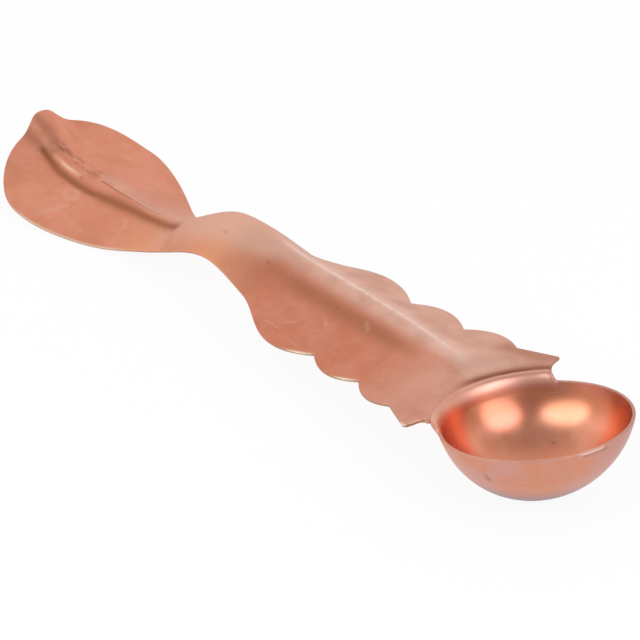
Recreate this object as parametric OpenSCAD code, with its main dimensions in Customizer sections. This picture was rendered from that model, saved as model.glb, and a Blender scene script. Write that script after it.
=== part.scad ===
// Copper ritual spoon: a drawn bowl brazed to a scalloped, ridged handle that ends in a cobra hood.
// Shapes are drawn in the bowl's own frame, with the rim in the plane z = 0 and the handle along +X,
// and the whole spoon is then tipped onto the surface that it lies on.

/* [Bowl] */
// Outside diameter of the bowl at its rim
bowl_d = 30; // [26:0.5:34]
// Outside depth of the bowl below its rim
bowl_depth = 12; // [9:0.1:14]
// Thickness of the copper sheet, bowl and handle
sheet_t = 0.5; // [0.4:0.05:1]
// Inside radius of the bend that turns the rim out towards the handle
lip_bend_r = 0.8; // [0.5:0.1:1.5]
// Half angle of the turned-out lip, seen along the bowl's axis
lip_half_angle = 49; // [40:1:56]
// Diameter of the small flat worn under the bowl where the spoon lies on it
rest_flat_d = 3; // [2:0.5:5]

/* [Brazed seam] */
// Width of the seam between the lip and the handle
seam_w = 0.6; // [0.3:0.1:1.2]
// Gap between the seam's outer face and the corners of the handle's cut end
seam_gap = 0.03; // [0.03:0.01:0.1]

/* [Scalloped blade, plan] */
// How far the wing tips reach back beside the bowl, from the rim's outermost point
wing_back = 2.3; // [1.5:0.1:4]
// Width across the wing tips
wing_span = 31; // [29:0.2:36]
// Length of a wing's straight edge along the handle
wing_len = 7.8; // [6:0.1:11]
// Width across the notches at the foot of the first lobes
first_notch_w = 24.8; // [22:0.2:27]
// Length of the first lobes
first_lobe_len = 11; // [8:0.1:15]
// Bulge of the first lobes beyond the line between their notches
first_lobe_bulge = 1.7; // [0.5:0.1:2.5]
// Width across the notches at the foot of the second lobes
second_notch_w = 20.6; // [18:0.2:23]
// Length of the second lobes
second_lobe_len = 13.3; // [10:0.1:17]
// Bulge of the second lobes
second_lobe_bulge = 2; // [0.5:0.1:3]
// Width across the notches at the foot of the shoulder lobes
third_notch_w = 19.4; // [17:0.2:22]
// Length of the shoulder lobes
shoulder_len = 20.3; // [16:0.1:24]
// Bulge of the shoulder lobes
shoulder_bulge = 3.3; // [1:0.1:4]
// Width where the shoulders turn in to the neck
shoulder_w = 16; // [14:0.2:19]

/* [Neck and hood, plan] */
// Length of the sweep from the shoulders to the narrowest place of the neck
neck_len = 36.8; // [30:0.2:44]
// Narrowest width of the neck
neck_w = 12; // [10:0.2:14]
// Length from the neck to the widest place of the hood
hood_back_len = 32.6; // [27:0.2:38]
// Greatest width of the hood
hood_w = 32.4; // [26:0.2:38]
// Length from the widest place of the hood to its tip
hood_front_len = 14.2; // [11:0.1:18]
// Angle by which the hood is bent sideways at the neck
hood_turn = 2.7; // [0:0.1:5]

/* [Height of the edges above the rim] */
// At the wing tips
wing_rise = 1; // [0.5:0.1:2]
// At the first notches
first_notch_rise = 1.3; // [0.5:0.1:2.5]
// At the third notches
third_notch_rise = 2.7; // [2:0.1:4]
// At the shoulders
shoulder_rise = 5.1; // [4:0.1:6]
// Near the middle of the neck, where the handle is arched
arch_rise = 9.1; // [8:0.1:10]
// At the narrowest place of the neck
neck_rise = 4.8; // [3.5:0.1:6]
// At the hood's root, where the spoon lies on its surface
root_rise = 3.6; // [2.5:0.1:4.5]
// At the hood's crown
crown_rise = 8.6; // [7.5:0.1:10]
// At the hood's tip
tip_rise = 16.1; // [13:0.1:18]

/* [Ridge and rib] */
// How far the blade's crest lies to the far side of the middle
crest_off = 2.2; // [0:0.1:3]
// Height of the ridge over the edges beside the bowl
ridge_wing_h = 0.9; // [0.3:0.1:1.5]
// Height of the ridge at the second notches
ridge_lobe_h = 3.1; // [2:0.1:4]
// Height of the ridge at the third notches
ridge_blade_h = 4.1; // [3:0.1:5]
// Height of the ridge at the shoulders
ridge_shoulder_h = 4.6; // [3.5:0.1:5.5]
// Height of the ridge at the arch of the neck
ridge_arch_h = 4.3; // [3:0.1:5]
// Height of the ridge at the narrowest place of the neck
ridge_neck_h = 3.6; // [2.5:0.1:4.5]
// Height of the rib at the hood's root
rib_root_h = 5; // [4:0.1:6]
// Height of the rib where it runs out at the hood's tip
rib_tip_h = 3; // [2:0.1:3.5]
// Half width of the round step on the near side of the blade's crest
ridge_step_w = 4.2; // [3:0.1:6]
// Half width of the step on the near side of the hood's rib
rib_step_w = 2.7; // [2:0.1:4]
// Half width of the rib's round end at the hood's tip
rib_tip_w = 3.2; // [2.5:0.1:4.5]
// How far the rib's round end lies to the near side of the middle
rib_tip_off = 0.8; // [0:0.1:2]
// Length over which the ridge rises from the bowl's lip
ridge_rise_len = 7; // [5:0.5:10]

/* [Twist of the sheet] */
// Sideways lean of the sheet beside the bowl, far edge up, in degrees
wing_lean = 2.2; // [0:0.1:4]
// Sideways lean at the third notches, in degrees
blade_lean = 8.7; // [0:0.1:12]
// Sideways lean at the arch of the neck, in degrees
arch_lean = 6.9; // [0:0.1:12]
// Sideways lean at the narrowest place of the neck, in degrees
neck_lean = 3.5; // [0:0.1:6]

/* [Hidden] */
$fn = 96;

copper = [0.74, 0.45, 0.33];
braze_copper = [0.66, 0.40, 0.29];

// Bowl: a spherical cap through the rim and the lowest point
bowl_r = bowl_d / 2;
ball_r = (bowl_r * bowl_r + bowl_depth * bowl_depth) / (2 * bowl_depth);
ball_z = ball_r - bowl_depth;
rest_r = sqrt(ball_r * ball_r - rest_flat_d * rest_flat_d / 4);
rim_inner_r = sqrt(pow(ball_r - sheet_t, 2) - ball_z * ball_z);
lip_r = bowl_r + lip_bend_r;
lip_top = lip_r - rim_inner_r;
handle_r = lip_r + seam_w;

// Stations along the handle, from the bowl's axis
wing_x = bowl_r - wing_back;
first_notch_x = wing_x + wing_len;
second_notch_x = first_notch_x + first_lobe_len;
third_notch_x = second_notch_x + second_lobe_len;
shoulder_x = third_notch_x + shoulder_len;
neck_x = shoulder_x + neck_len;
arch_x = shoulder_x + 0.45 * neck_len;
hood_x = neck_x + hood_back_len;
tip_x = hood_x + hood_front_len;
root_x = neck_x + 0.45 * hood_back_len;
crown_x = hood_x + 0.25 * hood_front_len;
bow_end_x = second_notch_x;

// Shape constants: how fast the neck draws in, how softly it meets the shoulders and the hood, how long and
// how full the hood's back is, and how closely the columns crowd at the crest
sweep_len = neck_len * 0.425;
shoulder_blend = shoulder_w * 0.185;
neck_blend = neck_w * 0.8;
leaf_len = hood_back_len * 1.05;
leaf_power = 1.76;
column_power = 1.4;

// Section constants: how evenly each side falls from the crest, and the step's share of the near side's fall
far_power = 1.12;
near_power = 1.8;
blade_step = 0.55;
neck_step = 0.15;
hood_step = 0.42;

// Grid of the sheet: columns on each side, how many of them lie on the curved end, rows in each stretch
side_columns = 10;
arc_columns = 8;
wing_rows = 6;
lobe_rows = 9;
neck_rows = 18;
hood_back_rows = 14;
hood_front_rows = 12;
tip_angle = 82.5;

function steps(from, to, count) = [for (i = [0:count - 1]) from + (to - from) * i / count];

edge_stations = concat(
    steps(wing_x, first_notch_x, wing_rows),
    steps(first_notch_x, second_notch_x, lobe_rows),
    steps(second_notch_x, third_notch_x, lobe_rows),
    steps(third_notch_x, shoulder_x, lobe_rows),
    steps(shoulder_x, neck_x, neck_rows),
    steps(neck_x, hood_x, hood_back_rows),
    [for (i = [0:hood_front_rows]) hood_x + hood_front_len * sin(tip_angle * i / hood_front_rows)]
);
columns = [for (j = [-side_columns:side_columns]) j / side_columns];
arc_share = arc_columns / side_columns;

function clamp(v) = max(0, min(1, v));
function smooth(v) = let (c = clamp(v)) c * c * (3 - 2 * c);

// The larger of two widths, rounded over where they are less than `r` apart
function smooth_max(a, b, r) = max(a, b) + pow(max(0, r - abs(a - b)), 2) / (4 * r);

// A smooth line through points: cubic pieces, each point's slope taken from its two neighbours
function slope(xs, ys, i) =
    let (lo = max(0, i - 1), hi = min(len(xs) - 1, i + 1)) (ys[hi] - ys[lo]) / (xs[hi] - xs[lo]);
function line_through(x, xs, ys) =
    let (
        i = max([for (k = [0:len(xs) - 2]) if (k == 0 || xs[k] <= x) k]),
        span = xs[i + 1] - xs[i],
        t = clamp((x - xs[i]) / span)
    )
    ys[i] * (1 + 2 * t) * pow(1 - t, 2) + ys[i + 1] * t * t * (3 - 2 * t)
    + span * (slope(xs, ys, i) * t * pow(1 - t, 2) + slope(xs, ys, i + 1) * t * t * (t - 1));

// Plan outline: half the width at a station
function lobe(x, x0, x1, w0, w1, bulge) =
    let (t = (x - x0) / (x1 - x0)) (w0 + (w1 - w0) * t) / 2 + 4 * bulge * t * (1 - t);
function neck_sweep(x) = neck_w / 2 + (shoulder_w - neck_w) / 2 * exp((shoulder_x - x) / sweep_len);
function shoulder(x) = lobe(x, third_notch_x, shoulder_x, third_notch_w, shoulder_w, shoulder_bulge);
function drawn_in(x) = smooth_max(shoulder(x), neck_sweep(x), shoulder_blend);
function hood_back(x) = hood_w / 2 * (1 - pow(max(0, hood_x - x) / leaf_len, leaf_power));
function hood_front(x) = hood_w / 2 * sqrt(1 - pow(clamp((x - hood_x) / hood_front_len), 2));
function half_width(x) =
    x < first_notch_x ? lobe(x, wing_x, first_notch_x, wing_span, first_notch_w, 0)
    : x < second_notch_x
        ? lobe(x, first_notch_x, second_notch_x, first_notch_w, second_notch_w, first_lobe_bulge)
    : x < third_notch_x
        ? lobe(x, second_notch_x, third_notch_x, second_notch_w, third_notch_w, second_lobe_bulge)
    : x < third_notch_x + shoulder_len / 2 ? shoulder(x)
    : x < hood_x ? smooth_max(drawn_in(x), hood_back(x), neck_blend)
    : hood_front(x);

// Lines along the handle: height of the edges, height of the ridge or rib, sideways lean, place of the crest
function edge_z(x) = line_through(x,
    [wing_x, first_notch_x, third_notch_x, shoulder_x, arch_x, neck_x, root_x, crown_x, tip_x],
    [wing_rise, first_notch_rise, third_notch_rise, shoulder_rise, arch_rise, neck_rise, root_rise,
        crown_rise, tip_rise]);
function ridge_h(x) = line_through(x,
    [wing_x, second_notch_x, third_notch_x, shoulder_x, arch_x, neck_x, root_x, tip_x],
    [ridge_wing_h, ridge_lobe_h, ridge_blade_h, ridge_shoulder_h, ridge_arch_h, ridge_neck_h, rib_root_h,
        rib_tip_h]);
function lean(x) = line_through(x,
    [wing_x, third_notch_x, arch_x, neck_x, root_x, tip_x],
    [wing_lean, blade_lean, arch_lean, neck_lean, 0, 0]);
function crest_y(x) = line_through(x,
    [wing_x, third_notch_x, arch_x, neck_x, crown_x, tip_x],
    [-0.75 * crest_off, -crest_off, -crest_off, 0, 0.25 * rib_tip_off, rib_tip_off]);

// The ridge across the sheet, from 1 at the crest to 0 at the edges, which are `w` from the middle: the far
// side falls like a roof, a share of the near side's fall is a round step, and both are round at the tip
section_x = [wing_x, second_notch_x, shoulder_x, arch_x, neck_x, root_x, crown_x, tip_x];
function near_step(x) = line_through(x, section_x,
    [blade_step, blade_step, blade_step, neck_step, neck_step, hood_step, hood_step, 1]);
function step_w(x) = line_through(x, section_x, [1.5 * ridge_step_w, ridge_step_w, ridge_step_w, ridge_step_w,
    rib_step_w, rib_step_w, rib_step_w, rib_tip_w]);
function section(x, y, w) =
    let (
        d = y - crest_y(x),
        near = d > 0,
        at_tip = smooth((x - crown_x) / (tip_x - crown_x)),
        round_end = 1 - smooth((x - wing_x) / (second_notch_x - wing_x)),
        to_edge = clamp(abs(d) / (w - sign(d) * crest_y(x))),
        roof = 1 - pow(to_edge, near ? near_power : far_power + (2 - far_power) * round_end),
        bell = exp(-pow(d / step_w(x), 2)),
        step = near ? near_step(x) : at_tip
    )
    step * bell + (1 - step) * roof;

// The end beside the bowl: an arc along the seam, then a straight cut out to each wing tip
function past_arc(c) = clamp((abs(c) - arc_share) / (1 - arc_share));
function arc_angle(c) = lip_half_angle * min(1, abs(c) / arc_share);
function end_x(c) = handle_r * cos(arc_angle(c)) * (1 - past_arc(c)) + wing_x * past_arc(c);
function end_y(c) =
    sign(c) * (handle_r * sin(arc_angle(c)) * (1 - past_arc(c)) + wing_span / 2 * past_arc(c));

// A point of the sheet's upper face, from its edge station and its column (-1 far edge, 1 near edge)
function sheet_point(e, c) =
    let (
        bow = clamp((bow_end_x - e) / (bow_end_x - wing_x)),
        w = half_width(e),
        spread = sign(c) * pow(abs(c), column_power),
        x = e + bow * (end_x(c) - wing_x),
        from_crest = crest_y(x) + spread * (w - sign(c) * crest_y(x)),
        y = (1 - bow) * from_crest + bow * w * 2 * end_y(c) / wing_span,
        full_z = edge_z(x) - y * sin(lean(x)) + ridge_h(x) * section(x, y, w),
        risen = 1 - (1 - smooth((e - wing_x) / ridge_rise_len)) * (1 - smooth(past_arc(c)))
    )
    [x, y - tan(hood_turn) * max(0, x - neck_x), lip_top + (full_z - lip_top) * risen];

last_row = len(edge_stations) - 1;
last_column = len(columns) - 1;
upper = [for (e = edge_stations) [for (c = columns) sheet_point(e, c)]];

// The lower face lies one thickness below, square to the sheet, and straight down at the brazed end
function sheet_normal(i, j) =
    let (
        along = upper[min(i + 1, last_row)][j] - upper[max(i - 1, 0)][j],
        across = upper[i][min(j + 1, last_column)] - upper[i][max(j - 1, 0)],
        n = cross(along, across)
    )
    n / norm(n);
lower = [for (i = [0:last_row]) [for (j = [0:last_column])
    upper[i][j] - sheet_t * (i == 0 ? [0, 0, 1] : sheet_normal(i, j))]];

// The spoon tips until the hood's root meets the plane of the worn flat under the bowl
function touch_angle(p) =
    let (rise = p[2] - ball_z) asin(rest_r / norm([p[0], rise])) + atan2(rise, p[0]);
tip_down = min([for (i = [0:last_row]) if (edge_stations[i] >= neck_x) for (p = lower[i]) touch_angle(p)]);
rest_height = rest_r - ball_z * cos(tip_down);

// Middle of the laid-down spoon's box, which goes over the origin
sheet_points = [for (row = concat(upper, lower)) each row];
all_y = [for (p = sheet_points) p[1]];
all_x = [for (p = sheet_points) p[0] * cos(tip_down) + p[2] * sin(tip_down)];
middle_x = (max(all_x) - bowl_r * cos(tip_down)) / 2;
middle_y = (max(all_y) + min(all_y)) / 2;

module laid_down() {
    translate([-middle_x, -middle_y, rest_height]) rotate([0, tip_down, 0]) children();
}

module lip_sector(profile_shift) {
    rotate([0, 0, -lip_half_angle])
        rotate_extrude(angle = 2 * lip_half_angle)
            translate(profile_shift) children();
}

// The wall is swept from the side away from the lip, so that the sweep starts and ends on plain rim
module bowl_wall() {
    rotate([0, 0, 180]) rotate_extrude()
        intersection() {
            translate([0, ball_z])
                difference() {
                    circle(r = ball_r);
                    circle(r = ball_r - sheet_t);
                }
            translate([0, -ball_r]) square(ball_r);
        }
}

module bowl_lip() {
    lip_sector([lip_r, 0])
        intersection() {
            difference() {
                circle(r = lip_top);
                circle(r = lip_bend_r);
            }
            translate([-lip_top, 0]) square(lip_top);
        }
}

module bowl() {
    color(copper) difference() {
        laid_down() {
            bowl_wall();
            bowl_lip();
        }
        translate([-middle_x, -middle_y, -bowl_depth / 2]) cube([bowl_d, bowl_d, bowl_depth], center = true);
    }
}

module braze_seam() {
    color(braze_copper) laid_down()
        lip_sector([lip_r, lip_bend_r]) square([seam_w - seam_gap, lip_top - lip_bend_r]);
}

module handle() {
    row_len = last_column + 1;
    lower_at = (last_row + 1) * row_len;
    function up(i, j) = i * row_len + j;
    function low(i, j) = lower_at + i * row_len + j;
    cells = [for (i = [0:last_row - 1]) for (j = [0:last_column - 1]) [i, j]];
    upper_faces = [for (q = cells) let (i = q[0], j = q[1]) each [
        [up(i, j), up(i, j + 1), up(i + 1, j + 1)], [up(i, j), up(i + 1, j + 1), up(i + 1, j)]]];
    lower_faces = [for (q = cells) let (i = q[0], j = q[1]) each [
        [low(i, j), low(i + 1, j + 1), low(i, j + 1)], [low(i, j), low(i + 1, j), low(i + 1, j + 1)]]];
    far_edge = [for (i = [0:last_row - 1]) each [
        [up(i, 0), up(i + 1, 0), low(i + 1, 0)], [up(i, 0), low(i + 1, 0), low(i, 0)]]];
    near_edge = [for (i = [0:last_row - 1]) let (n = last_column) each [
        [up(i, n), low(i + 1, n), up(i + 1, n)], [up(i, n), low(i, n), low(i + 1, n)]]];
    brazed_end = [for (j = [0:last_column - 1]) each [
        [up(0, j + 1), up(0, j), low(0, j)], [up(0, j + 1), low(0, j), low(0, j + 1)]]];
    tip_edge = [for (j = [0:last_column - 1]) let (n = last_row) each [
        [up(n, j), up(n, j + 1), low(n, j)], [up(n, j + 1), low(n, j + 1), low(n, j)]]];
    color(copper) laid_down()
        polyhedron(sheet_points, concat(upper_faces, lower_faces, far_edge, near_edge, brazed_end, tip_edge));
}

bowl();
handle();
braze_seam();
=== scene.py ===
import bpy
import numpy as np
from mathutils import Matrix, Quaternion, Vector


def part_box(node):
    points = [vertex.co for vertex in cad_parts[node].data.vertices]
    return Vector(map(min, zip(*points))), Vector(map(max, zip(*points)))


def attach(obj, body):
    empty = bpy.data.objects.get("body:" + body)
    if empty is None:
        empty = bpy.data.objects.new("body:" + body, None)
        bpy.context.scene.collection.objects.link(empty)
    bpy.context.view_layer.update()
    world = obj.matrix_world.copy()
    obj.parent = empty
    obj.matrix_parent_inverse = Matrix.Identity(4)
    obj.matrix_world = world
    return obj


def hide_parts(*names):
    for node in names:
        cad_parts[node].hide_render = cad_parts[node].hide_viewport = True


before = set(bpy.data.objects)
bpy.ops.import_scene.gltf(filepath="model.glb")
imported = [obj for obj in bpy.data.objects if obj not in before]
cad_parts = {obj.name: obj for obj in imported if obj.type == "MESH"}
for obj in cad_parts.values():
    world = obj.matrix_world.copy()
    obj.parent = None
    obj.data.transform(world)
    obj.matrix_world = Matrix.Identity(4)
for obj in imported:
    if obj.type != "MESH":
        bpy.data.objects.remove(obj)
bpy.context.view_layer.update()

# The bowl is a copper cup drawn from one disc of sheet, bright inside from use and rubbed dull outside.
# Facing the handle, a stretch of its rim is turned out over a small bend, and that lip is brazed to the handle.
# Sizes are in millimetres, in the bowl's own frame: the rim lies in the plane z = 0, the handle along +X.
MM = 0.001
sheet_t = 0.5
bowl_r = 15.0
bowl_depth = 12.0
rest_flat_r = 1.5
lip_bend_r = 0.8
joint_ends = np.radians([-49, 54])
lip_ends = np.radians([-46.5, 56.0])
lip_fade = np.radians([5, 6])
roll_start, roll_share, roll_reach = np.radians(70), 0.8, (0.9, 1.3)
edge_round = 0.13
bowl_lean = np.array([0.2, 0.28])
rim_wave = 0.09
bowl_widening, widening_start = 0.012, np.radians(49)
nick_width, nick_depth = 0.5, 0.2
bowl_around, wall_rings, edge_rings, worn_rings = 288, 84, 7, 2

ball_r = (bowl_r ** 2 + bowl_depth ** 2) / (2 * bowl_depth)
ball_z = ball_r - bowl_depth
inner_r = ball_r - sheet_t
rest_r = np.sqrt(ball_r ** 2 - rest_flat_r ** 2)
rim_inner_r = np.sqrt(inner_r ** 2 - ball_z ** 2)
lip_r = bowl_r + lip_bend_r
lip_top = lip_r - rim_inner_r

# How the spoon lies: the front of the rim stands highest, which gives the tilt, and the rim's centre follows
bowl_low, bowl_high = (np.array(corner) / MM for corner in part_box("bowl"))
tip_down = np.arctan2(ball_z, bowl_r) + np.arcsin((bowl_high[2] - rest_r) / ball_r)
rim_centre = np.array([
    bowl_low[0] + bowl_r * np.cos(tip_down),
    (bowl_low[1] + bowl_high[1]) / 2,
    rest_r - ball_z * np.cos(tip_down)])


def lay_down(points):
    """Points of the bowl's frame in millimetres, turned about Y by the spoon's tilt and shifted to the rim's
    centre; the result is in metres."""
    c, s = np.cos(tip_down), np.sin(tip_down)
    turn = np.array([[c, 0, s], [0, 1, 0], [-s, 0, c]])
    return (points @ turn.T + rim_centre) * MM


def smooth(v):
    """Rises from 0 to 1 as v does, level at both ends: 3 v squared minus 2 v cubed."""
    v = np.clip(v, 0, 1)
    return v * v * (3 - 2 * v)


def fade(v, start, length):
    """0 up to the start, rising smoothly to 1 over that length past it."""
    return smooth((v - start) / length)


def span(v, start, rise, end, fall):
    """A mask that rises smoothly over a length from `start` and falls again over a length from `end`."""
    return fade(v, start, rise) * (1 - fade(v, end, fall))


def bell(v, width):
    """1 where v is 0, falling off to both sides as a bell curve of that width."""
    return np.exp(-(v / width) ** 2)


def add_piece(name, points, faces, finish, node, marks):
    """A smooth mesh at the origin from points in the bowl's frame. It stands for a CAD node and holds masks."""
    mesh = bpy.data.meshes.new(name)
    mesh.from_pydata(lay_down(points).tolist(), [], faces)
    mesh.polygons.foreach_set("use_smooth", np.ones(len(mesh.polygons), bool))
    for mark, values in marks.items():
        layer = mesh.attributes.new(mark, "FLOAT", "POINT")
        layer.data.foreach_set("value", np.asarray(values, np.float32).ravel())
    mesh.materials.append(finish)
    mesh.update()
    piece = bpy.data.objects.new(name, mesh)
    bpy.context.scene.collection.objects.link(piece)
    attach(piece, "root")
    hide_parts(node)


around = np.linspace(-np.pi, np.pi, bowl_around, endpoint=False)[:, None]
share = np.linspace(0, 1, wall_rings)[None, 1:]
up_ball = roll_start * np.minimum(share / roll_share, 1)
past_ball = np.clip((share - roll_share) / (1 - roll_share), 0, 1)
past_lip = np.maximum((lip_ends[0] - around) / lip_fade[0], (around - lip_ends[1]) / lip_fade[1])
turned_out = 1 - smooth(past_lip)
wave = rim_wave * (1 - turned_out) * (0.5 + 0.3 * np.sin(2 * around + 1) + 0.2 * np.sin(5 * around))


def on_ball(turn):
    """Distance from the axis and height of the ball's inside, at an angle up from its lowest point."""
    return np.stack([inner_r * np.sin(turn), ball_z - inner_r * np.cos(turn)], -1)


def rolled_lip(t):
    """The inside of the lip: a cubic curve that leaves the ball in the ball's own direction, where the roll starts,
    and comes out level at the edge of the lip."""
    start, end = on_ball(roll_start), np.array([lip_r, lip_top])
    leave = start + roll_reach[0] * np.array([np.cos(roll_start), np.sin(roll_start)])
    arrive = end - np.array([roll_reach[1], 0])
    t = t[..., None]
    return start * (1 - t) ** 3 + 3 * leave * t * (1 - t) ** 2 + 3 * arrive * t ** 2 * (1 - t) + end * t ** 3


# The wall from the bottom up its inside, round its edge and down its outside, with and without the lip
plain_end = np.arccos(ball_z / inner_r) - (wave + edge_round) / inner_r
inner_face = on_ball(up_ball + (plain_end - roll_start) * past_ball)
lip_face = np.where(past_ball[..., None] > 0, rolled_lip(past_ball), on_ball(up_ball))
inner_face += turned_out[..., None] * (lip_face - inner_face)
along_wall = np.gradient(inner_face, axis=1)
along_wall /= np.linalg.norm(along_wall, axis=-1, keepdims=True)
outer_face = inner_face + sheet_t * np.stack([along_wall[..., 1], -along_wall[..., 0]], -1)
edge_turn = np.linspace(0, np.pi, edge_rings + 2)[None, 1:-1, None]
edge_mid = (inner_face[:, -1:] + outer_face[:, -1:]) / 2
edge_half = (inner_face[:, -1:] - outer_face[:, -1:]) / 2
edge_ahead = along_wall[:, -1:] * edge_round * (1 - turned_out[..., None])
edge_face = edge_mid + edge_half * np.cos(edge_turn) + edge_ahead * np.sin(edge_turn)
profile = np.concatenate([inner_face, edge_face, outer_face[:, ::-1]], 1)
profile_r, profile_z = profile[..., 0], profile[..., 1]
widened = 1 + bowl_widening * smooth(np.abs(around) / widening_start - 1)
ring = np.stack([profile_r * np.cos(around), profile_r * np.sin(around) * widened, profile_z], -1)
poles = np.array([[0, 0, ball_z - inner_r], [0, 0, ball_z - ball_r]])
bowl_points = np.concatenate([ring.reshape(-1, 3), poles])
bowl_points[:, :2] += bowl_lean * smooth(-bowl_points[:, 2:] / bowl_depth)
flat_normal = np.array([-np.sin(tip_down), 0, np.cos(tip_down)])
flat_depth = (bowl_points - [0, 0, ball_z]) @ flat_normal + rest_r
bowl_points -= np.minimum(flat_depth, 0)[:, None] * flat_normal


def stroke(places, line, width):
    """A mark along a bent line: 1 on the line, fading with distance as a bell curve of that width."""
    gap = np.inf
    for start, end in zip(line[:-1], line[1:]):
        run = np.subtract(end, start)
        t = np.clip((places - start) @ run / (run @ run), 0, 1)
        gap = np.minimum(gap, np.linalg.norm(places - start - t[..., None] * run, axis=-1))
    return bell(gap, width)


def strokes(places, lines):
    """The strongest of several strokes, each given by its line, its width and its strength."""
    return np.maximum.reduce([strength * stroke(places, line, width) for line, width, strength in lines])


# The front of the rim has had a knock: a dent with a painted highlight on its burr and a painted shadow under it.
# There is a smudge outside and a pit inside
nick_line = [(-14.7, 2.8, -0.2), (-14.9, 1.4, -0.2), (-14.9, -0.5, -0.2)]
burr_shadow_line = [(-14.6, 2.6, -0.8), (-14.75, 0.5, -0.85), (-14.66, -1.6, -0.9)]
smudge_line = [(-4.3, 12.9, -3.3), (-4.4, 12.9, -4.0)]
pit_line = [(5.7, -7.2, -8.3), (5.8, -7.1, -8.3)]
nick = stroke(bowl_points, nick_line, nick_width)
smudge = strokes(bowl_points, [(smudge_line, 0.5, 1), (pit_line, 0.3, 1), (burr_shadow_line, 0.22, 1)])
bowl_points[:, 2] -= nick_depth * nick


def grid_faces(index, closed):
    """Quads between neighbouring rows and columns of a grid of vertex numbers; `closed` joins the last row on."""
    after = np.roll(index, -1, 0) if closed else index[1:]
    before = index if closed else index[:-1]
    return np.stack([before[:, :-1], after[:, :-1], after[:, 1:], before[:, 1:]], -1).reshape(-1, 4)


rings = ring.shape[1]
bowl_index = np.arange(bowl_around * rings).reshape(bowl_around, rings)
pole_in, pole_out = bowl_around * rings, bowl_around * rings + 1
first, last = bowl_index[:, 0], bowl_index[:, -1]
pole_faces = np.concatenate([
    np.stack([np.full_like(first, pole_in), np.roll(first, -1), first], -1),
    np.stack([np.full_like(last, pole_out), last, np.roll(last, -1)], -1)])
bowl_faces = grid_faces(bowl_index, True).tolist() + pole_faces.tolist()


crease_shade_end, crease_shade_fade = np.radians([-6, 20])


def crease_shade_half(angle):
    """Painted shade in the joint's crease, on its far half only: 1 there, 0 on the near half, which is left
    unshaded.
    """
    return 1 - fade(angle, crease_shade_end, crease_shade_fade)


def inside_mark(mask, pole=0):
    """A mask of the cup's inside as one value per point: 0 on its edge and its outside, and the two poles last."""
    whole = np.zeros((bowl_around, rings))
    whole[:, :wall_rings - 1] = mask
    return np.append(whole, [pole, 0])


# Wear follows the height of the inside over the rim. A painted highlight on the lip follows the angle round it,
# weaker over part of the near side, and the joint has painted shade of its crease on its far half
inside_r, inside_z = inner_face[..., 0], inner_face[..., 1]
weaker_lip_highlight = span(around, np.radians(6), np.radians(12), np.radians(40), np.radians(8))
rim_wear = np.zeros((bowl_around, rings))
rim_wear[:, wall_rings - 1 - worn_rings:wall_rings - 1 + edge_rings + worn_rings] = 1
bowl_marks = {
    "inside": inside_mark(1 - fade(inside_z, -2.2, 3.2), pole=1),
    "well": inside_mark(1 - fade(inside_z, -5.6, 2.8), pole=1),
    "edge": np.append(rim_wear * (1 - turned_out), [0, 0]),
    "lip": inside_mark(fade(inside_z, -0.9, 1.2) * turned_out * (1 - 0.7 * weaker_lip_highlight)),
    "joint": inside_mark(bell(lip_r - inside_r, 0.2) * turned_out * crease_shade_half(around)),
    "nick": nick,
    "smudge": smudge}


class Wire:
    """An output socket of a node tree. Arithmetic on it adds Math nodes, and `make` adds any other node."""

    def __init__(self, socket):
        self.socket = socket

    def make(self, kind, settings, inputs, out=0):
        """A new node in this wire's tree: its settings first, then each input's value or link; gives one output."""
        tree = self.socket.id_data
        node = tree.nodes.new(kind)
        for name, value in settings.items():
            if name == "stops":
                for position, _ in value[1:-1]:
                    node.color_ramp.elements.new(position)
                for stop, (position, colour) in zip(node.color_ramp.elements, value):
                    stop.position, stop.color = position, (*colour, 1)
            else:
                setattr(node, name, value)
        for name, value in inputs.items():
            if isinstance(value, Wire):
                tree.links.new(value.socket, node.inputs[name])
            else:
                node.inputs[name].default_value = value
        return Wire(node.outputs[out])

    def math(self, operation, first, second=0.0):
        """A Math node on two numbers or wires."""
        return self.make("ShaderNodeMath", {"operation": operation}, {0: first, 1: second})

    def __add__(self, other):
        return self.math("ADD", self, other)

    def __sub__(self, other):
        return self.math("SUBTRACT", self, other)

    def __rsub__(self, other):
        return self.math("SUBTRACT", other, self)

    def __mul__(self, other):
        return self.math("MULTIPLY", self, other)

    __radd__, __rmul__ = __add__, __mul__

    def between(self, low, high):
        """0 below `low`, 1 above `high`, with a soft step between; the other way round where low is the larger."""
        return self.make("ShaderNodeMapRange", {"interpolation_type": "SMOOTHSTEP"},
                         {"Value": self, "From Min": low, "From Max": high})

    def mark(self, name):
        """A mask that the mesh holds."""
        return self.make("ShaderNodeAttribute", {"attribute_name": name}, {}, "Fac")

    def axis(self, name):
        """The X, Y or Z of these coordinates."""
        return self.make("ShaderNodeSeparateXYZ", {}, {0: self}, name)

    def noise(self, scale, detail=3.0, stretch=(1, 1, 1)):
        """Soft noise over these coordinates, finer where `stretch` is larger."""
        place = self.make("ShaderNodeVectorMath", {"operation": "MULTIPLY"}, {0: self, 1: stretch})
        return self.make("ShaderNodeTexNoise", {}, {"Vector": place, "Scale": scale, "Detail": detail})

    def tint(self, first, second):
        """A colour from `first` to `second` as this wire goes from 0 to 1."""
        colours = {key: c if isinstance(c, Wire) else (*c, 1) for key, c in ((6, first), (7, second))}
        return self.make("ShaderNodeMix", {"data_type": "RGBA"}, {0: self, **colours}, 2)


grain_depth = 0.00004


def new_finish(name):
    """An empty metal: its material, its shader node, and a wire of the piece's Object coordinates."""
    finish = bpy.data.materials.new(name)
    finish.use_nodes = True
    shader = finish.node_tree.nodes["Principled BSDF"]
    shader.inputs["Metallic"].default_value = 1.0
    return finish, shader, Wire(finish.node_tree.nodes.new("ShaderNodeTexCoord").outputs["Object"])


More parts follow.
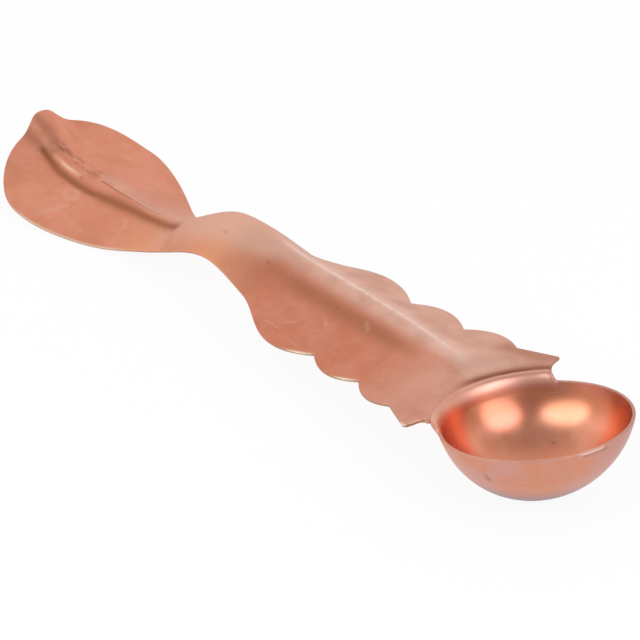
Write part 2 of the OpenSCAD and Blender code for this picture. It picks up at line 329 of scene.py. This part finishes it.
def wear(shader, colour, roughness, height):
    """Links a finish to its shader: colour, roughness, and a bump as deep as the metal's grain, in metres."""
    bump = height.make("ShaderNodeBump", {}, {"Height": height, "Distance": grain_depth, "Strength": 1.0})
    for wire, name in ((colour, "Base Color"), (roughness, "Roughness"), (bump, "Normal")):
        wire.socket.id_data.links.new(wire.socket, shader.inputs[name])


def rubbed_copper(place, pink, brown):
    """Copper that has been rubbed by hand: slow clouds from pink to brown, finer clouds over them, a few dark
    specks where the sheet is pitted, and short pale scratches. Gives colour, roughness and height."""
    bare, pitted = (0.80, 0.54, 0.42), (0.20, 0.09, 0.05)
    cloud = place.noise(150.0, 4.0) * 0.65 + place.noise(520.0, 3.0) * 0.35
    colour = cloud.between(0.38, 0.64).tint(brown, pink)
    pits = place.noise(900.0, 1.0).between(0.80, 0.86)
    streaks = [place.noise(1.0, 2.0, stretch).between(0.70, 0.76)
               for stretch in ((90, 1900, 1900), (1500, 130, 1500))]
    scratch = streaks[0] + streaks[1] * 0.6
    colour = (scratch * 0.4).tint(colour, bare)
    colour = (pits * 0.8).tint(colour, pitted)
    roughness = 0.26 + cloud * 0.12 - scratch * 0.06 + pits * 0.2
    height = place.noise(2600.0, 3.0) * 0.25 + place.noise(330.0, 2.0) * 0.9 - scratch * 0.15 - pits * 0.5
    return colour, roughness, height


def lay_coats(place, colour, coats):
    """Tints a colour in turn towards each coat's own colour, by that coat's mask times its strength."""
    for mark, strength, tone in coats:
        colour = (place.mark(mark) * strength).tint(colour, tone)
    return colour


underside_shade_z, front_y = (0.0072, 0.0018), (0.004, -0.008)
outside_pink, outside_brown = (0.65, 0.325, 0.26), (0.675, 0.285, 0.18)
underside_painted_shade, front_lilac = (0.19, 0.12, 0.145), (0.52, 0.265, 0.24)
polished_dark, polished_light, wall_red = (0.70, 0.262, 0.156), (0.77, 0.31, 0.195), (0.57, 0.20, 0.11)
# Coats: a painted highlight on the lip, rim wear on the edge, painted shade in the joint's crease, a painted
# highlight on the knocked burr, and stains with a painted shadow under the burr
bowl_coats = (
    ("lip", 0.7, (0.82, 0.42, 0.305)),
    ("edge", 0.2, (0.70, 0.40, 0.31)),
    ("joint", 0.7, (0.36, 0.13, 0.07)),
    ("nick", 0.6, (0.84, 0.57, 0.50)),
    ("smudge", 0.6, (0.28, 0.14, 0.11)))
bowl_finish, bowl_shader, bowl_place = new_finish("bowl_copper")
colour, roughness, height = rubbed_copper(bowl_place, outside_pink, outside_brown)
inside = bowl_place.mark("inside")
outside = 1 - inside
# Painted shade: the outside turns dark grey near the bottom, where the cup sits on the floor
underside = bowl_place.axis("Z").between(*underside_shade_z) * outside
# The outside also turns darker and more lilac towards -Y
front = bowl_place.axis("Y").between(*front_y) * outside
colour = (underside * 0.95).tint(colour, underside_painted_shade)
colour = (front * 0.8).tint(colour, front_lilac)
polish_cloud = bowl_place.noise(260.0, 3.0)
polished = polish_cloud.between(0.35, 0.7).tint(polished_dark, polished_light)
colour = inside.tint(colour, bowl_place.mark("well").tint(wall_red, polished))
colour = lay_coats(bowl_place, colour, bowl_coats)
polish_roughness, rim_roughness = 0.21 + polish_cloud * 0.08, bowl_place.mark("edge") * 0.15
roughness = inside * polish_roughness + outside * (roughness + 0.06) + rim_roughness
wear(bowl_shader, colour, roughness, height * (1 - inside * 0.8))
add_piece("bowl_cup", bowl_points, bowl_faces, bowl_finish, "bowl", bowl_marks)

# The handle is one piece of the same sheet: cut to its scalloped outline, its ridge and the hood's rib beaten up
# from below, and its edges filed. Its round end fits the bowl's lip, and its hood is bent up.
wing_x = bowl_r - 2.3
wing_span = 31.0
seam_w = 0.6
handle_r = lip_r + seam_w
notch_x = wing_x + np.cumsum([7.8, 11.0, 13.3])
notch_w = np.array([24.8, 20.6, 19.4])
lobe_bulge = np.array([1.7, 2.0, 3.3])
lobe_skew = 0.45
shoulder_x, shoulder_w = notch_x[2] + 20.3, 16.0
neck_len, neck_w = 36.8, 12.0
neck_x = shoulder_x + neck_len
hood_back_len, hood_front_len, hood_w = 32.6, 14.2, 32.4
hood_turn = np.radians(2.7)
hood_x = neck_x + hood_back_len
tip_x = hood_x + hood_front_len
arch_x = shoulder_x + 0.45 * neck_len
root_x = neck_x + 0.45 * hood_back_len
crown_x = hood_x + 0.25 * hood_front_len
sweep_len, shoulder_blend, neck_blend = 0.425 * neck_len, 0.185 * shoulder_w, 0.8 * neck_w
leaf_len, leaf_power = 1.05 * hood_back_len, 1.76
ridge_rise_len = 7.0
far_power, near_power, tip_squareness = 1.12, 1.8, 0.8
wing_corner = 0.5
tip_angle = np.radians(82.5)
arc_share = 0.8
notch_bite, notch_scale = {"far": 0.55, "near": 0.3}, 27 / 4
wrinkle_height, wrinkle_width, hollow_depth, hollow_width = 0.28, 0.45, 0.30, 0.8
column_count, column_crowding, edge_steps = 121, 1.4, 5
tip_row_count, row_gap, least_fullness = 56, 0.02, 0.04


def line_through(x, xs, ys):
    """A smooth line through points: cubic pieces, each point's slope taken from its two neighbours."""
    xs, ys = np.asarray(xs), np.asarray(ys)
    here, end = np.arange(len(xs)), len(xs) - 1
    ahead, behind = np.minimum(here + 1, end), np.maximum(here - 1, 0)
    slope = (ys[ahead] - ys[behind]) / (xs[ahead] - xs[behind])
    i = np.clip(np.searchsorted(xs, x) - 1, 0, end - 1)
    length = xs[i + 1] - xs[i]
    t = np.clip((x - xs[i]) / length, 0, 1)
    ends = ys[i] * (1 + 2 * t) * (1 - t) ** 2 + ys[i + 1] * t * t * (3 - 2 * t)
    return ends + length * (slope[i] * t * (1 - t) ** 2 + slope[i + 1] * t * t * (t - 1))


def smooth_max(a, b, r):
    """The larger of two widths, rounded over where they are less than r apart."""
    return np.maximum(a, b) + np.maximum(0, r - np.abs(a - b)) ** 2 / (4 * r)


def half_width(x):
    """Half the plan width: straight wings, parabolic lobes between notches, a neck that is drawn in by an
    exponential, the leaf-shaped back of the hood, and its elliptic front."""
    starts, ends = np.r_[wing_x, notch_x], np.r_[notch_x, shoulder_x]
    widths = np.r_[wing_span, notch_w, shoulder_w]
    bulges = np.r_[0, lobe_bulge]
    i = np.clip(np.searchsorted(starts, x, "right") - 1, 0, len(starts) - 1)
    t = (x - starts[i]) / (ends[i] - starts[i])
    lobes = (widths[i] + (widths[i + 1] - widths[i]) * t) / 2 + 4 * bulges[i] * t * (1 - t)
    sweep = neck_w / 2 + (shoulder_w - neck_w) / 2 * np.exp((shoulder_x - x) / sweep_len)
    leaf = hood_w / 2 * (1 - (np.maximum(0, hood_x - x) / leaf_len) ** leaf_power)
    back = smooth_max(smooth_max(lobes, sweep, shoulder_blend), leaf, neck_blend)
    front = hood_w / 2 * np.sqrt(1 - np.clip((x - hood_x) / hood_front_len, 0, 1) ** 2)
    return np.select([x < (notch_x[2] + shoulder_x) / 2, x < hood_x], [lobes, back], front)


def edge_height(x):
    """Height of the sheet's edges above the rim, along the handle: a smooth line."""
    stations = [wing_x, notch_x[0], notch_x[2], shoulder_x, arch_x, neck_x, root_x, crown_x, tip_x]
    return line_through(x, stations, [1.0, 1.3, 2.7, 5.1, 9.1, 4.8, 3.6, 8.6, 16.08])


def ridge_height(x):
    """Height of the ridge, and then of the hood's rib, over the edges: a smooth line."""
    stations = [wing_x, notch_x[1], notch_x[2], shoulder_x, arch_x, neck_x, root_x, tip_x]
    return line_through(x, stations, [0.9, 3.1, 4.1, 4.6, 4.27, 3.6, 5.0, 3.0])


def crest_side(x):
    """How far the crest lies to the near side of the middle; on the blade it lies to the far side."""
    stations = [wing_x, notch_x[2], arch_x, neck_x, crown_x, tip_x]
    return line_through(x, stations, [-2.4, -3.0, -2.2, 0, 0.2, 0.8])


def section(x, y, edge):
    """The ridge across the sheet, from 1 at the crest to 0 at the edges: on the far side a roof that falls evenly,
    on the near side a share of it is a round step next to the crest, and at the tip both sides are round."""
    stations = [wing_x, notch_x[1], shoulder_x, arch_x, neck_x, root_x, crown_x, tip_x]
    step = line_through(x, stations, [0.55, 0.55, 0.55, 0.15, 0.15, 0.42, 0.42, 1.0])
    step_w = line_through(x, stations, [6.3, 4.2, 4.2, 4.2, 2.7, 2.7, 2.7, 3.4])
    aside = y - crest_side(x)
    to_edge = np.clip(np.abs(aside) / (edge - np.sign(aside) * crest_side(x)), 0, 1)
    round_end = 1 - fade(x, wing_x, notch_x[1] - wing_x)
    roof = 1 - to_edge ** np.where(aside > 0, near_power, far_power + (2 - far_power) * round_end)
    at_tip = fade(x, crown_x, tip_x - crown_x)
    round_step = np.exp(-np.abs(aside / step_w) ** (2 + tip_squareness * at_tip))
    step = np.where(aside > 0, step, at_tip)
    return step * round_step + (1 - step) * roof


# Rows crowd at both ends and columns at both edges, where the sheet's thickness is rounded off
rounding = edge_round * (1 - np.cos(np.linspace(0, np.pi / 2, edge_steps + 1)))
stretches = [
    (wing_x + edge_round, notch_x[0], 24), (notch_x[0], notch_x[1], 36), (notch_x[1], notch_x[2], 40),
    (notch_x[2], shoulder_x, 44), (shoulder_x, neck_x, 62), (neck_x, hood_x, 100)]
tip_rows = hood_x + hood_front_len * np.sin(np.linspace(0, tip_angle, tip_row_count))
last_x = tip_rows[-1]
station = np.concatenate(
    [wing_x + rounding[:-1]] + [np.linspace(a, b, n, endpoint=False) for a, b, n in stretches]
    + [tip_rows[tip_rows < last_x - edge_round - row_gap], last_x - rounding[::-1]])[:, None]
edge_columns = np.ones(edge_steps)
column = np.concatenate([-edge_columns, np.linspace(-1, 1, column_count), edge_columns])[None]
inset = np.concatenate([rounding[:-1], np.full(column_count, edge_round), rounding[-2::-1]])[None]

# The first rows follow the round end that fits the lip, then a notch beside the bowl, and the end of each wing
past_arc = np.clip((np.abs(column) - arc_share) / (1 - arc_share), 0, 1)
joint_end = np.abs(np.where(column < 0, joint_ends[0], joint_ends[1]))
arc_angle = joint_end * np.minimum(1, np.abs(column) / arc_share)
end_x = handle_r * np.cos(arc_angle) * (1 - past_arc) + wing_x * past_arc
bite = np.where(column < 0, notch_bite["far"], notch_bite["near"])
end_x = end_x + bite * notch_scale * past_arc * (1 - past_arc) ** 2
end_y = handle_r * np.sin(arc_angle) * (1 - past_arc) + wing_span / 2 * past_arc
bow = np.clip((notch_x[1] - station) / (notch_x[1] - wing_x), 0, 1)
corner = np.clip(1 - (station - wing_x) / wing_corner, 0, 1)
on_lobes = 1 - fade(station, notch_x[2], shoulder_x - notch_x[2])
skewed = station - lobe_skew * np.sign(column) * on_lobes
outline = half_width(np.maximum(skewed, wing_x)) - wing_corner * (1 - np.sqrt(1 - corner ** 2))
sheet_x = station + bow * (end_x - wing_x)
crest = crest_side(sheet_x)
crest_out = np.sign(column) * crest
from_middle = crest_out + np.abs(column) ** column_crowding * (outline - crest_out)
across = (1 - bow) * from_middle + bow * outline * 2 * end_y / wing_span
sheet_y = np.where(column == 0, (1 - bow) * crest, np.sign(column) * across - inset * column)
from_crest = sheet_y - crest

lean = np.radians(line_through(
    sheet_x, [wing_x, notch_x[2], arch_x, neck_x, root_x, tip_x], [2.2, 8.7, 6.9, 3.5, 0, 0]))
ridge = ridge_height(sheet_x) * section(sheet_x, sheet_y, outline)
full_z = edge_height(sheet_x) - sheet_y * np.sin(lean) + ridge
risen = 1 - (1 - fade(station, wing_x, ridge_rise_len)) * (1 - smooth(past_arc))
sheet_z = lip_top + (full_z - lip_top) * risen

# Beside the hood's rib the beating left a sharp wrinkle, with a hollow on its near side
wrinkle_line = [(140.6, 2.95), (136.4, 2.85), (132.4, 2.45)]
hollow_line = [(143.0, 4.1), (136.6, 4.3), (131.0, 3.7), (126.7, 3.1)]
on_sheet = np.stack([sheet_x, sheet_y], -1)
wrinkle = wrinkle_height * stroke(on_sheet, wrinkle_line, wrinkle_width)
hollow = hollow_depth * stroke(on_sheet, hollow_line, hollow_width)
turned_y = sheet_y - np.tan(hood_turn) * np.maximum(0, sheet_x - neck_x)
top_face = np.stack([sheet_x, turned_y, sheet_z + wrinkle - hollow], -1)

# The sheet's thickness goes square down from its upper face. All its edges are rounded but the one at the seam
square_to = np.cross(np.gradient(top_face, axis=0), np.gradient(top_face, axis=1))
square_to /= np.linalg.norm(square_to, axis=-1, keepdims=True)
whole_rows = np.clip(np.arange(len(station)), len(rounding), len(station) - len(rounding) - 1)
whole_columns = np.clip(np.arange(column.size), len(rounding), column.size - len(rounding) - 1)
square_to = square_to[whole_rows][:, whole_columns]
from_seam = station - wing_x + edge_round * (1 - smooth(past_arc * 3))
from_end = np.minimum(np.minimum(from_seam, last_x - station), inset)
fullness = np.sqrt(1 - (1 - np.clip(from_end / edge_round, 0, 1)) ** 2)
fullness[0, 1:-1] = np.maximum(fullness[0, 1:-1], least_fullness)
upper = top_face - square_to * sheet_t / 2 * (1 - fullness[..., None])
lower = top_face - square_to * sheet_t / 2 * (1 + fullness[..., None])

rows, columns = upper.shape[:2]
upper_index = np.arange(rows * columns).reshape(rows, columns)
lower_index = upper_index.copy()
lower_count = (rows - 1) * (columns - 2)
lower_index[:-1, 1:-1] = rows * columns + np.arange(lower_count).reshape(rows - 1, columns - 2)
handle_points = np.concatenate([upper.reshape(-1, 3), lower[:-1, 1:-1].reshape(-1, 3)])
end_top, end_low = upper_index[0], lower_index[0]
end_faces = np.stack([end_top[1:-2], end_top[2:-1], end_low[2:-1], end_low[1:-2]], -1)
end_corners = [[end_top[0], end_top[1], end_low[1]], [end_top[-2], end_top[-1], end_low[-2]]]
handle_faces = np.concatenate(
    [grid_faces(upper_index, False), grid_faces(lower_index, False)[:, ::-1], end_faces]).tolist()
handle_faces += np.array(end_corners).tolist()


def both_faces(mask):
    """A mask of the sheet's grid, for the points of the upper face and then of the lower face."""
    mask = np.broadcast_to(mask, (rows, columns))
    return np.concatenate([mask.ravel(), mask[:-1, 1:-1].ravel()])


# Marks are placed in plan: x along the handle and y to its near side, each line with its width and its strength.
# The crest has a painted highlight; the far flank, the hood's far root and the bowl's end are paler with painted
# sheen and rubbed dull; the near foot of the ridge has painted shade, and the far wing is darker
on_blade = 1 - fade(sheet_x, neck_x - 8, 12)
on_neck = fade(sheet_x, shoulder_x, 14)
# Painted highlight along the crest, with a wider pale band beside it and a stretch towards the bowl
crest_highlight_band = np.maximum(0.85 * bell(from_crest, 0.5), 0.4 * bell(from_crest + 0.6, 1.2))
crest_highlight_end = strokes(on_sheet, [([(34.0, -3.1), (28.0, -3.0), (21.0, -2.5)], 1.2, 0.45)])
crest_highlight = np.maximum(crest_highlight_band * span(sheet_x, 19, 9, 64, 12), crest_highlight_end)
far_flank_sheen = on_blade * (1 - fade(from_crest, 1.3 + 2.3 * on_neck, 2.6 + 2 * on_neck))
bowl_end_sheen = 0.55 * (1 - fade(sheet_x, 20, 14))
hood_root_sheen = strokes(on_sheet, [
    ([(98.0, -2.5), (112.0, -2.5)], 2.5, 0.7), ([(112.0, -2.2), (128.0, -1.2)], 1.7, 0.5)])
# Painted shade with tarnish along the near foot of the ridge; the far wing is also darkened
near_foot_shade = bell(from_crest - 4.3, 1.4) * span(sheet_x, 24, 12, 60, 12)
far_wing = strokes(on_sheet, [([(12.5, -15.0), (20.0, -11.0)], 2.5, 0.78)])
# Painted shade of the crease along the seam, on the far half of the handle's round end
joint_crease_shade = bell(np.hypot(sheet_x, sheet_y) - handle_r, 1.0) * (1 - smooth(past_arc))
joint_crease_shade = joint_crease_shade * crease_shade_half(np.arctan2(sheet_y, sheet_x))

# On the hood, dark dirt lines lie along the rib with a painted highlight beside them, painted shade lies in the
# valley beside the rib and in a crease at the neck, and a round dent is drawn only as a painted highlight ring.
# Rubs and specks lie here and there on the whole handle
valley_shade_line = hollow_line + [(120.0, 2.3), (113.0, 1.8), (105.0, 1.6), (98.0, 1.9)]
neck_crease_shade = [(98.2, 1.8), (96.3, 5.2)]
rib_dirt = [(127.0, 0.65), (118.0, 0.3), (107.5, -0.2)]
rib_highlight = [(124.0, -0.25), (117.0, -0.5), (109.5, -0.8)]
rib_streaks = [(141.5, 1.5), (137.0, 0.9), (133.3, 0.2), (129.0, -0.2)]
rubs = [
    ([(17.9, 5.3), (17.3, 5.9)], 0.8), ([(129.7, 13.7), (127.5, 8.4)], 0.6), ([(112.1, 5.1), (113.9, 3.5)], 0.3),
    ([(56.1, 7.9), (54.5, 6.8)], 0.3), ([(50.4, 3.4), (48.8, 4.4)], 0.3), ([(42.2, 0.9), (40.6, 1.8)], 0.3)]
specks = [[(x, y), (x + 0.3, y)] for x, y in ((69.2, 1.36), (80.7, 2.1), (49.6, 1.2))]
# The dent and the strip beside the rib are painted highlights; the rubs are real wear
dent_highlight_ring = bell(np.hypot((sheet_x - 129.7) / 1.9, (sheet_y - 6.1) / 1.3) - 0.9, 0.3)
pale = strokes(on_sheet, [(rib_highlight, 0.35, 0.8)] + [(line, width, 0.5) for line, width in rubs])
dark = strokes(on_sheet, [(rib_dirt, 0.16, 1)] + [(line, 0.24, 0.6) for line in specks])

# The filed near edge has a painted glint on its lobes and, less, along the hood; the lower half of every edge has
# painted shade
lobe_glints = ((48.0, 2.2), (34.5, 1.8), (13.4, 0.8))
glint_at = sum(bell(sheet_x - x, width) for x, width in lobe_glints) + 0.55 * span(sheet_x, 104, 8, 130, 8)
glint = np.where(column > 0, glint_at * bell(outline - sheet_y, 0.25), 0)
under_edge_shade = (1 - smooth(from_end / edge_round))[:-1, 1:-1]
handle_marks = {
    "hood": both_faces(1 - on_blade),
    "neck": both_faces(on_neck * (1 - fade(sheet_x, neck_x + 2, 12))),
    "edge": np.concatenate([(1 - fullness).ravel(), under_edge_shade.ravel()]),
    "glint": both_faces(glint),
    "crest": both_faces(crest_highlight),
    # The wrinkle's colour mark is a painted highlight along its crest
    "wrinkle": both_faces(stroke(on_sheet, wrinkle_line, 0.25) * bell(sheet_x - 136.2, 3.6)),
    "pale": both_faces(np.maximum(pale, 0.5 * dent_highlight_ring)),
    "dull": both_faces(np.maximum(np.maximum(far_flank_sheen, hood_root_sheen), bowl_end_sheen)),
    "dark": both_faces(dark),
    "streaked": both_faces(stroke(on_sheet, rib_streaks, 1.2)),
    "valley": both_faces(strokes(on_sheet, [(valley_shade_line, 0.9, 1), (neck_crease_shade, 0.9, 0.15)])),
    "foot": both_faces(np.maximum(near_foot_shade, far_wing)),
    "joint": both_faces(joint_crease_shade)}

blade_pink, hood_pink = (0.66, 0.255, 0.165), (0.755, 0.305, 0.20)
blade_brown, hood_brown = (0.60, 0.21, 0.125), (0.68, 0.26, 0.155)
sheen_dark, sheen_light, neck_sheen = (0.665, 0.365, 0.275), (0.755, 0.44, 0.34), (0.77, 0.43, 0.315)
handle_finish, handle_shader, handle_place = new_finish("handle_copper")
handle_shader.inputs["Specular Tint"].default_value = (0.85, 0.74, 0.70, 1)
on_hood = handle_place.mark("hood")
colour, roughness, height = rubbed_copper(
    handle_place, on_hood.tint(blade_pink, hood_pink), on_hood.tint(blade_brown, hood_brown))
sheen_colour = handle_place.noise(210.0, 3.0).between(0.35, 0.65).tint(sheen_dark, sheen_light)
sheen_colour = handle_place.mark("neck").tint(sheen_colour, neck_sheen)
streaky = handle_place.noise(1.0, 3.0, (260, 800, 800)).between(0.44, 0.62)
broken = handle_place.noise(700.0, 2.0).between(0.36, 0.5)
# Coats: painted sheen on the far flank, painted shade at the ridge's foot, in the valley, in the joint and under
# the edges, and painted highlights on the crest, the wrinkle, the glints and among the pale rubs
handle_coats = (
    ("neck", 0.9, (0.74, 0.32, 0.185)),
    ("dull", 1.0, sheen_colour),
    ("foot", 0.85, (0.42, 0.16, 0.09)),
    ("valley", 0.9, (0.34, 0.115, 0.055)),
    ("pale", 0.55, (0.78, 0.47, 0.36)),
    ("streaked", streaky * 0.7, (0.30, 0.13, 0.085)),
    ("dark", broken * 0.7, (0.24, 0.10, 0.06)),
    ("joint", 0.9, (0.29, 0.095, 0.045)),
    ("crest", 0.65 + broken * 0.35, (0.90, 0.66, 0.585)),
    ("wrinkle", 1.0, (0.97, 0.60, 0.42)),
    ("glint", 1.0, (0.98, 0.84, 0.66)),
    ("edge", 0.8, (0.36, 0.20, 0.14)))
colour = lay_coats(handle_place, colour, handle_coats)
roughness = roughness + handle_place.mark("dull") * 0.06 - handle_place.mark("crest") * 0.06
wear(handle_shader, colour, roughness, height)
add_piece("handle_sheet", handle_points, handle_faces, handle_finish, "handle", handle_marks)

# The seam is the line of brazing metal run in between the bowl's lip and the handle's round end.
# It has been filed flush. Its far half is coloured dark as painted shade in its shallow valley, and its near half
# and its far end are copper-coloured.
seam_sag = 0.05
seam_start = np.radians(-47.5)
seam_steps, seam_sides = 180, 24
seam_angle = np.linspace(seam_start, joint_ends[1], seam_steps)[:, None]
seam_round = np.linspace(0, 2 * np.pi, seam_sides, endpoint=False)[None]
squared = np.maximum(np.abs(np.cos(seam_round)), np.abs(np.sin(seam_round)))
side, rise = np.cos(seam_round) / squared, np.sin(seam_round) / squared
seam_half_w, seam_half_t = seam_w / 2, (lip_top - lip_bend_r) / 2
seam_uneven = 1 + 0.4 * np.sin(seam_angle * 31) + 0.3 * np.sin(seam_angle * 13 + 1)
seam_dip = seam_sag * seam_uneven * (1 - side ** 2)
seam_r = np.broadcast_to(lip_r + seam_half_w + seam_half_w * side, seam_dip.shape)
seam_z = lip_bend_r + seam_half_t + seam_half_t * rise - np.sign(rise) * seam_dip
seam_points = np.stack([seam_r * np.cos(seam_angle), seam_r * np.sin(seam_angle), seam_z], -1).reshape(-1, 3)
seam_index = np.arange(seam_steps * seam_sides).reshape(seam_steps, seam_sides)
seam_wrapped = np.concatenate([seam_index, seam_index[:, :1]], 1)
seam_ends = [seam_index[0].tolist(), seam_index[-1, ::-1].tolist()]
seam_faces = grid_faces(seam_wrapped, False).tolist() + seam_ends

# The seam's dark base colour is painted shade of the crease; its near half and far end are tinted to copper
copper_end = fade(-seam_angle, np.radians(42), np.radians(5))
clean = np.maximum(copper_end, 1 - crease_shade_half(seam_angle))
seam_marks = {"clean": np.broadcast_to(clean, seam_r.shape)}
seam_shade_pink, seam_shade_brown, seam_unshaded_copper = (0.40, 0.145, 0.08), (0.33, 0.115, 0.06), (0.64, 0.30, 0.21)
seam_finish, seam_shader, seam_place = new_finish("braze")
colour, roughness, height = rubbed_copper(seam_place, seam_shade_pink, seam_shade_brown)
colour = lay_coats(seam_place, colour, [("clean", 1.0, seam_unshaded_copper)])
wear(seam_shader, colour, roughness, height)
add_piece("braze_line", seam_points, seam_faces, seam_finish, "braze_seam", seam_marks)

# The floor is a plain white sheet of paper, wide enough to fill every view.
# What the camera and the metal see of it is mostly white of its own, and a share of it still takes the shadow.
floor_half, floor_drop, paper_own_white = 4.0, 0.00005, 0.92
floor_mesh = bpy.data.meshes.new("floor")
corners = [(-1, -1), (1, -1), (1, 1), (-1, 1)]
floor_mesh.from_pydata([(x * floor_half, y * floor_half, -floor_drop) for x, y in corners], [], [(0, 1, 2, 3)])
floor = bpy.data.objects.new("floor", floor_mesh)
bpy.context.scene.collection.objects.link(floor)
paper = bpy.data.materials.new("paper")
paper.use_nodes = True
floor_mesh.materials.append(paper)
paper_tree = paper.node_tree
paper_shader = paper_tree.nodes["Principled BSDF"]
paper_shader.inputs["Base Color"].default_value = (0.92, 0.925, 0.93, 1)
paper_shader.inputs["Roughness"].default_value = 0.9
rays = paper_tree.nodes.new("ShaderNodeLightPath").outputs
seen = Wire(rays["Is Camera Ray"]) + Wire(rays["Is Glossy Ray"]) + Wire(rays["Is Transmission Ray"])
own_white = seen.make("ShaderNodeEmission", {}, {"Color": (1, 1, 1, 1), "Strength": 1.0})
paper_mix = seen.make("ShaderNodeMixShader", {}, {
    0: seen * paper_own_white, 1: Wire(paper_shader.outputs["BSDF"]), 2: own_white})
paper_tree.links.new(paper_mix.socket, paper_tree.nodes["Material Output"].inputs["Surface"])

# The light is that of a table between two soft boxes, left and right of the camera, in a white room.
# Each box has its azimuth from +Y towards +X, its elevation and its turn in degrees, its size in metres, its power
# and its tone.
view_azimuth = np.radians(123.884)
view_elevation = np.radians(27.757)
soft_boxes = {
    "left_box": (-1, 39, 25, (0.80, 0.35), 1.90, (0.82, 0.96, 1.0)),
    "right_box": (-105, 37.5, -30, (0.70, 0.46), 2.0, (0.88, 0.84, 1.0))}
box_distance = 0.75
aim = Vector(lay_down(np.zeros(3)))
for name, (azimuth, elevation, tilt, size, power, tone) in soft_boxes.items():
    a, e = np.radians(azimuth), np.radians(elevation)
    lamp = bpy.data.lights.new(name, "AREA")
    lamp.shape, lamp.size, lamp.size_y = "ELLIPSE", size[0], size[1]
    lamp.energy, lamp.color = power, tone
    lamp_object = bpy.data.objects.new(name, lamp)
    towards = Vector((np.sin(a) * np.cos(e), np.cos(a) * np.cos(e), np.sin(e)))
    turn = Quaternion((0, 0, 1), np.radians(tilt))
    lamp_object.location = aim + towards * box_distance
    lamp_object.rotation_mode = "QUATERNION"
    lamp_object.rotation_quaternion = towards.to_track_quat("Z", "Y") @ turn
    bpy.context.scene.collection.objects.link(lamp_object)

# The room is dim behind the camera and overhead and white on the far side, by a ramp along the view.
# Its left and right ends are brighter, and so is a patch on the near right
room = bpy.data.worlds.new("room")
room.use_nodes = True
bpy.context.scene.world = room
room_light = room.node_tree.nodes["Background"]
way = Wire(room.node_tree.nodes.new("ShaderNodeTexCoord").outputs["Generated"])
far_side = (np.sin(view_azimuth), np.cos(view_azimuth), 0)
left_side = (-np.cos(view_azimuth), np.sin(view_azimuth), 0)
near_right = (-0.972, -0.189, 0.139)
farness, leftness, near_rightness = (
    way.make("ShaderNodeVectorMath", {"operation": "DOT_PRODUCT"}, {0: way, 1: direction}, "Value")
    for direction in (far_side, left_side, near_right))
room_levels = {
    0.0: 0.48, 0.25: 0.46, 0.33: 0.40, 0.42: 0.48, 0.5: 0.62, 0.58: 0.75, 0.67: 0.86, 0.75: 0.95, 1.0: 1.0}
room_stops = [(place, (level, level, level)) for place, level in room_levels.items()]
level = way.make("ShaderNodeValToRGB", {"stops": room_stops}, {0: farness * 0.5 + 0.5}, "Color")
level = level + leftness.between(0.6, 1) * 0.48 + leftness.between(-0.65, -1) * 0.27
level = level + near_rightness.between(0.75, 1) * 0.6
room.node_tree.links.new(level.socket, room_light.inputs["Color"])
room_light.inputs["Strength"].default_value = 1.0

# The camera stands where the photograph was taken from, a little turned about its own axis.
view_roll = np.radians(-2.558)
eye = Vector((-0.37596, 0.24656, 0.23714))
photo_px, focal_px, sensor_mm = 640, 3000, 36.0
camera_data = bpy.data.cameras.new("camera")
camera_data.sensor_width = sensor_mm
camera_data.lens = sensor_mm * focal_px / photo_px
camera_data.clip_start, camera_data.clip_end = 0.01, 20
camera = bpy.data.objects.new("camera", camera_data)
bpy.context.scene.collection.objects.link(camera)
forward = Vector((
    np.sin(view_azimuth) * np.cos(view_elevation),
    np.cos(view_azimuth) * np.cos(view_elevation),
    -np.sin(view_elevation)))
level_right = forward.cross(Vector((0, 0, 1))).normalized()
level_up = level_right.cross(forward)
right = level_right * np.cos(view_roll) + level_up * np.sin(view_roll)
upward = right.cross(forward)
camera.matrix_world = Matrix.Translation(eye) @ Matrix((right, upward, -forward)).transposed().to_4x4()
bpy.context.scene.camera = camera
bpy.context.scene.view_settings.view_transform = "Standard"
